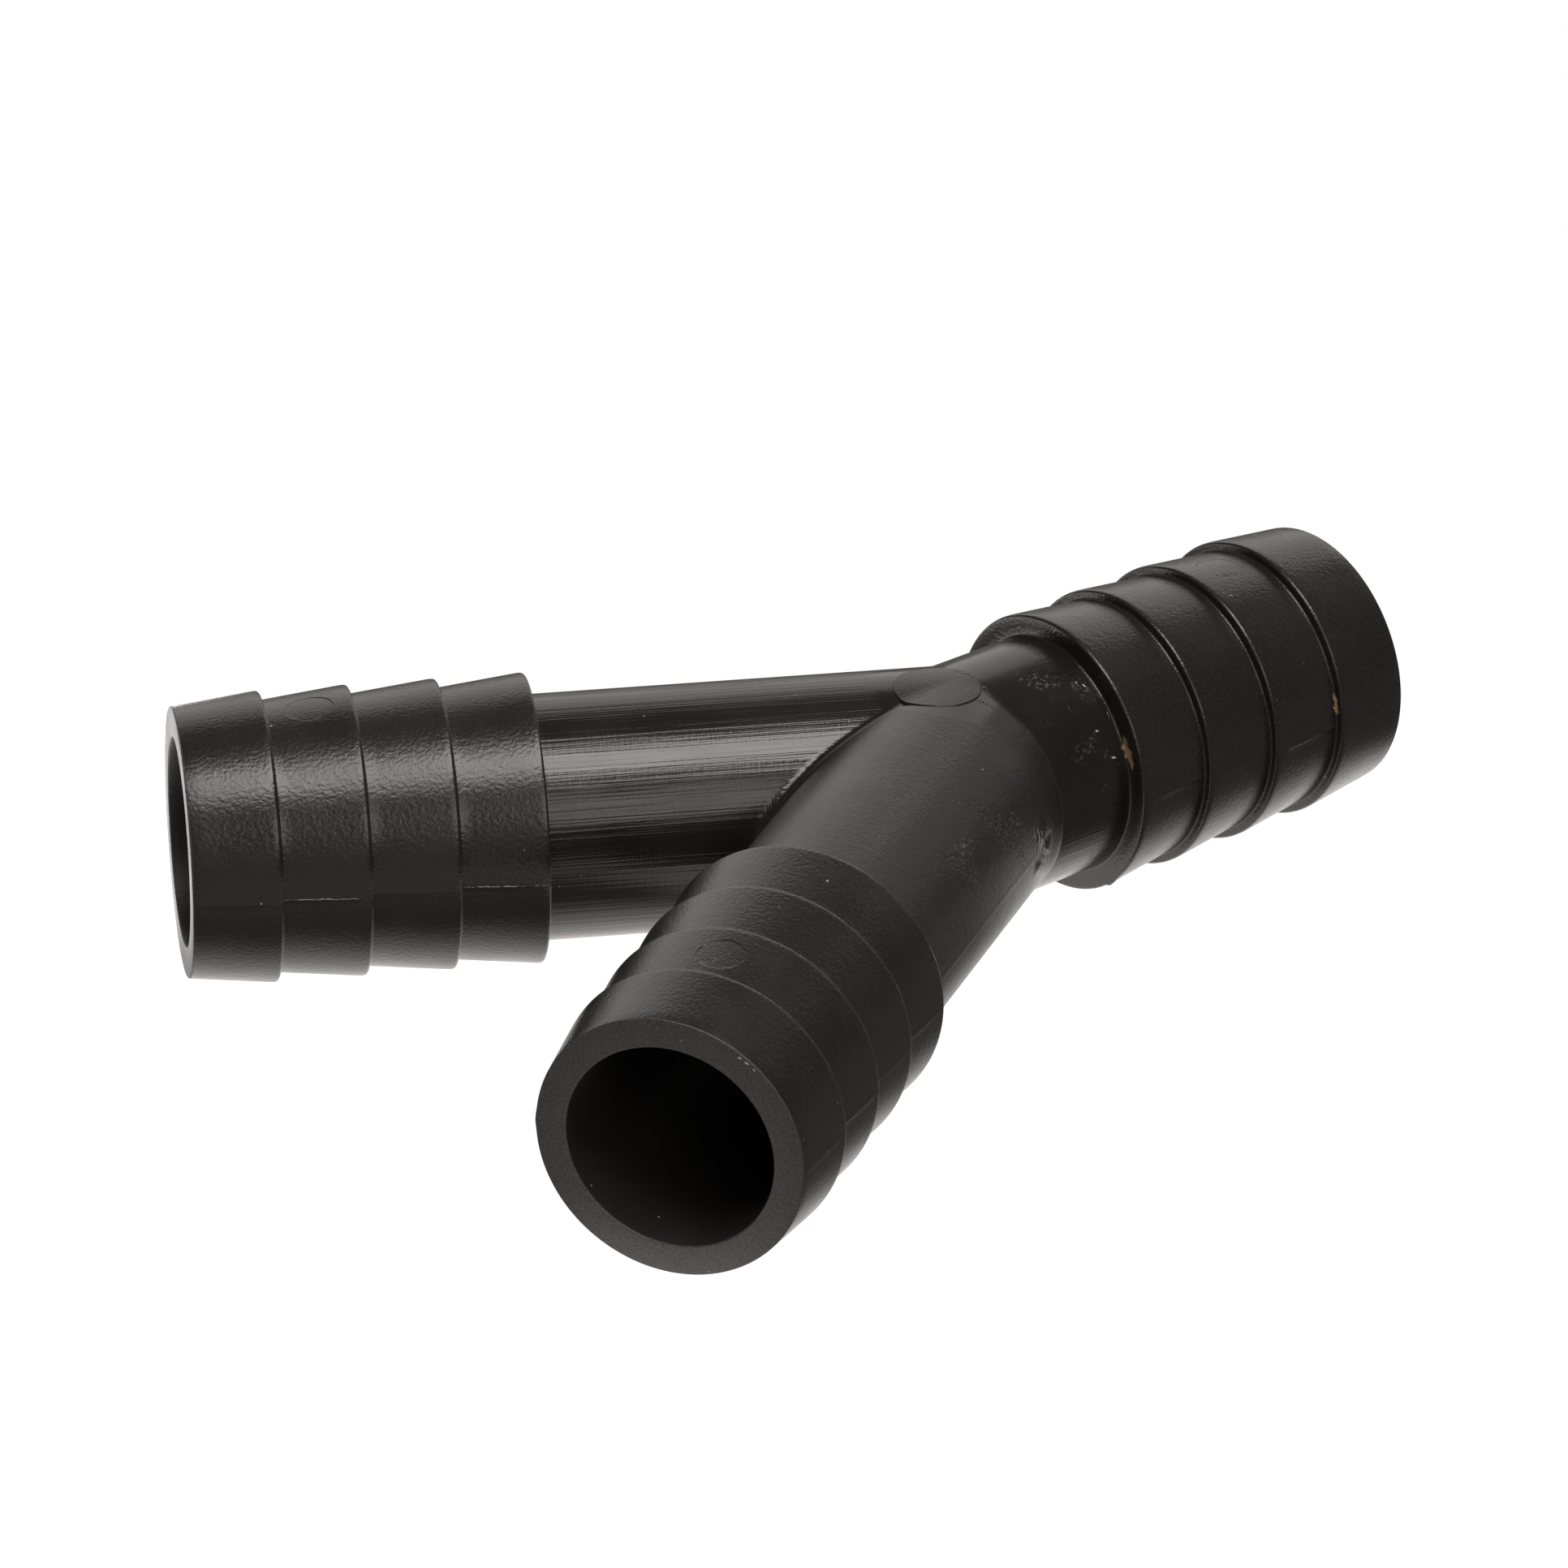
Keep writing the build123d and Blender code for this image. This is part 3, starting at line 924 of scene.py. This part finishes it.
def floor_sheet():
    """A pale sheet that glows round the object, and is near full white to the camera, with
    what shadow the lamps leave."""
    material = bpy.data.materials.new("floor_sheet")
    material.use_nodes = True
    n = Nodes(material.node_tree)
    shader = n.tree.nodes["Principled BSDF"]
    settings = {
        "Base Color": (*FLOOR_COLOUR, 1),
        "Roughness": 1.0,
        "Specular IOR Level": 0.0,
        "Emission Color": (*LIGHT_COLOUR, 1),
        "Emission Strength": n.attribute(NEAR_OBJECT, "Fac"),
    }
    for name, value in settings.items():
        n.set(shader.inputs[name], value)
    glow = n.add("Emission", {"Strength": CAMERA_GLOW}).outputs[0]
    share = n.times(n.to_camera(), CAMERA_SHARE)
    mix = n.add("MixShader", {0: share, 1: shader.outputs[0], 2: glow})
    n.set(n.tree.nodes["Material Output"].inputs["Surface"], mix.outputs[0])
    return material


def faded(distance, reach):
    """1 up to the near reach, easing to 0 at the far one."""
    share = np.clip((distance - reach[0]) / (reach[1] - reach[0]), 0, 1)
    return 1 - share * share * (3 - 2 * share)


def lay_floor(arms, origin, level):
    """A level grid, fine near the object, with the glow from below as an attribute.

    The grid's lines stand at c sinh(t), so that they crowd at the middle. The glow fades
    smoothly with the distance from the nearest arm's axis in plan. More of it lies in
    round-ended patches: branch a's end face, seen edge on, mirrors the one behind it.
    """
    line = FLOOR_CORE * np.sinh(np.linspace(-FLOOR_SPREAD, FLOOR_SPREAD, FLOOR_LINES))
    x, y = np.meshgrid(line, line, indexing="ij")
    points = np.stack([x, y, np.zeros_like(x)], -1)
    distances = []
    for arm in arms:
        ahead = np.clip(points @ arm.along, 0, arm.length)
        distances.append(np.linalg.norm(points - ahead[..., None] * arm.along, axis=-1))
    glow = GLOW_LEVEL * faded(np.min(distances, axis=0), GLOW_REACH)
    for _, start, end, near, far, patch_level in GLOW_PATCHES:
        start, end = (np.array([*spot, 0.0]) * MM - origin for spot in (start, end))
        line = end - start
        ahead = np.clip((points - start) @ line / (line @ line), 0, 1)
        off_line = np.linalg.norm(points - start - ahead[..., None] * line, axis=-1)
        glow = np.maximum(glow, patch_level * faded(off_line, (near * MM, far * MM)))
    mesh = bpy.data.meshes.new("floor")
    places, faces = points + origin + level * UP, grid_faces(points.shape)
    mesh.from_pydata(places.reshape(-1, 3), [], faces.reshape(-1, 4).tolist())
    glow = glow.ravel().astype(np.float32)
    mesh.attributes.new(NEAR_OBJECT, "FLOAT", "POINT").data.foreach_set("value", glow)
    mesh.materials.append(floor_sheet())
    floor = add_object("floor", mesh)


def hang_lamp(name, target, azimuth, elevation, distance, width, height, radiance):
    """A soft panel that faces the target from that direction.

    Its power is radiance x pi x its area, so that its face shines at that radiance.
    """
    light = bpy.data.lights.new(name, "AREA")
    light.shape = "RECTANGLE"
    light.size, light.size_y = width, height
    light.energy = radiance * math.pi * width * height
    light.color = LIGHT_COLOUR
    around, above = math.radians(azimuth), math.radians(elevation)
    level = math.cos(above)
    direction = Vector((math.cos(around) * level, math.sin(around) * level, math.sin(above)))
    turned = direction.to_track_quat("Z", "Y").to_matrix().to_4x4()
    lamp = add_object(name, light)
    lamp.matrix_world = Matrix.Translation(target + direction * distance) @ turned


def aim_camera(scene, junction):
    """The camera, turned first by its roll, then up from level, then round the upright."""
    camera = add_object("camera", bpy.data.cameras.new("camera"))
    camera.data.sensor_width = CAMERA_SENSOR
    camera.data.lens = CAMERA_LENS
    camera.data.clip_start, camera.data.clip_end = CAMERA_CLIP
    turns = ((-CAMERA_AZIMUTH, "Z"), (90 - CAMERA_ELEVATION, "X"), (CAMERA_ROLL, "Z"))
    turned = Matrix.Identity(4)
    for degrees, axis in turns:
        turned = turned @ Matrix.Rotation(math.radians(degrees), 4, axis)
    seen = Vector((*CAMERA_OFFSET, -CAMERA_DISTANCE))
    camera.matrix_world = Matrix.Translation(junction - turned @ seen) @ turned
    scene.camera = camera


def light_world(scene):
    """A white world: full to the camera, and at its own low level to the object."""
    world = bpy.data.worlds.new("studio")
    world.use_nodes = True
    n = Nodes(world.node_tree)
    inputs = {"Value": n.to_camera(), "To Min": WORLD_LEVEL, "To Max": 1.0}
    background = n.tree.nodes["Background"]
    n.set(background.inputs["Color"], (1, 1, 1, 1))
    n.set(background.inputs["Strength"], n.add("MapRange", inputs).outputs["Result"])
    scene.world = world


# ---- operators ----
class OBJECT_OT_y_connector(bpy.types.Operator):
    """Builds the moulded connector, with its barbs, seams, gate pad and pin marks."""

    bl_idname = "object.y_connector"
    bl_label = "Build connector"

    def execute(self, context):
        sizes = context.scene.connector_sizes
        arms = lay_out_arms(sizes)
        junction = np.array([CAD_HIGH.x - sizes.stem_length, 0.0, 0.0])
        surface = Surface()
        crown = []
        for number, arm in enumerate(arms):
            window, crown_edge = add_arm(surface, arm, arms, junction, sizes)
            crown.append(crown_edge[:-1])
            add_pin_mark(surface, window, arm, number, sizes)
        add_gate_pad(surface, np.concatenate(crown), arms, sizes)
        materials = plastics(context.scene.connector_finish)
        piece = surface.make("moulded_connector", junction, materials)
        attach(piece, "root")
        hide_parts(CAD_NODE)
        return {"FINISHED"}


class OBJECT_OT_connector_stage(bpy.types.Operator):
    """Lays the floor, hangs the lamps and aims the camera."""

    bl_idname = "object.connector_stage"
    bl_label = "Build stage"

    def execute(self, context):
        scene = context.scene
        sizes = scene.connector_sizes
        scene.view_settings.view_transform = "Standard"
        junction = Vector((CAD_HIGH.x - sizes.stem_length, 0, 0))
        aim_camera(scene, junction)
        lay_floor(lay_out_arms(sizes), np.array(junction), -sizes.crest_diameter / 2)
        for name, *placing in LAMPS:
            hang_lamp(name, junction, *placing)
        light_world(scene)
        return {"FINISHED"}


class VIEW3D_PT_y_connector(bpy.types.Panel):
    """Lists the sizes and the steps."""

    bl_idname = "VIEW3D_PT_y_connector"
    bl_label = "Y connector"
    bl_space_type = "VIEW_3D"
    bl_region_type = "UI"
    bl_category = "Y connector"

    def draw(self, context):
        column = self.layout.column()
        for group in (context.scene.connector_sizes, context.scene.connector_finish):
            for name in type(group).__annotations__:
                column.prop(group, name)
        column.operator(OBJECT_OT_y_connector.bl_idname)
        column.operator(OBJECT_OT_connector_stage.bl_idname)


GROUPS = (ConnectorSizes, ConnectorFinish)
CLASSES = (*GROUPS, OBJECT_OT_y_connector, OBJECT_OT_connector_stage, VIEW3D_PT_y_connector)


def register():
    """Registers the classes, and gives every scene the two groups."""
    for cls in CLASSES:
        bpy.utils.register_class(cls)
    bpy.types.Scene.connector_sizes = bpy.props.PointerProperty(type=ConnectorSizes)
    bpy.types.Scene.connector_finish = bpy.props.PointerProperty(type=ConnectorFinish)


def unregister():
    """Takes the groups and the classes away again."""
    del bpy.types.Scene.connector_finish
    del bpy.types.Scene.connector_sizes
    for cls in reversed(CLASSES):
        bpy.utils.unregister_class(cls)


def main():
    register()
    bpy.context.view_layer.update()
    bpy.ops.object.y_connector()
    bpy.ops.object.connector_stage()
    bpy.context.view_layer.update()


if __name__ == "__main__":
    main()
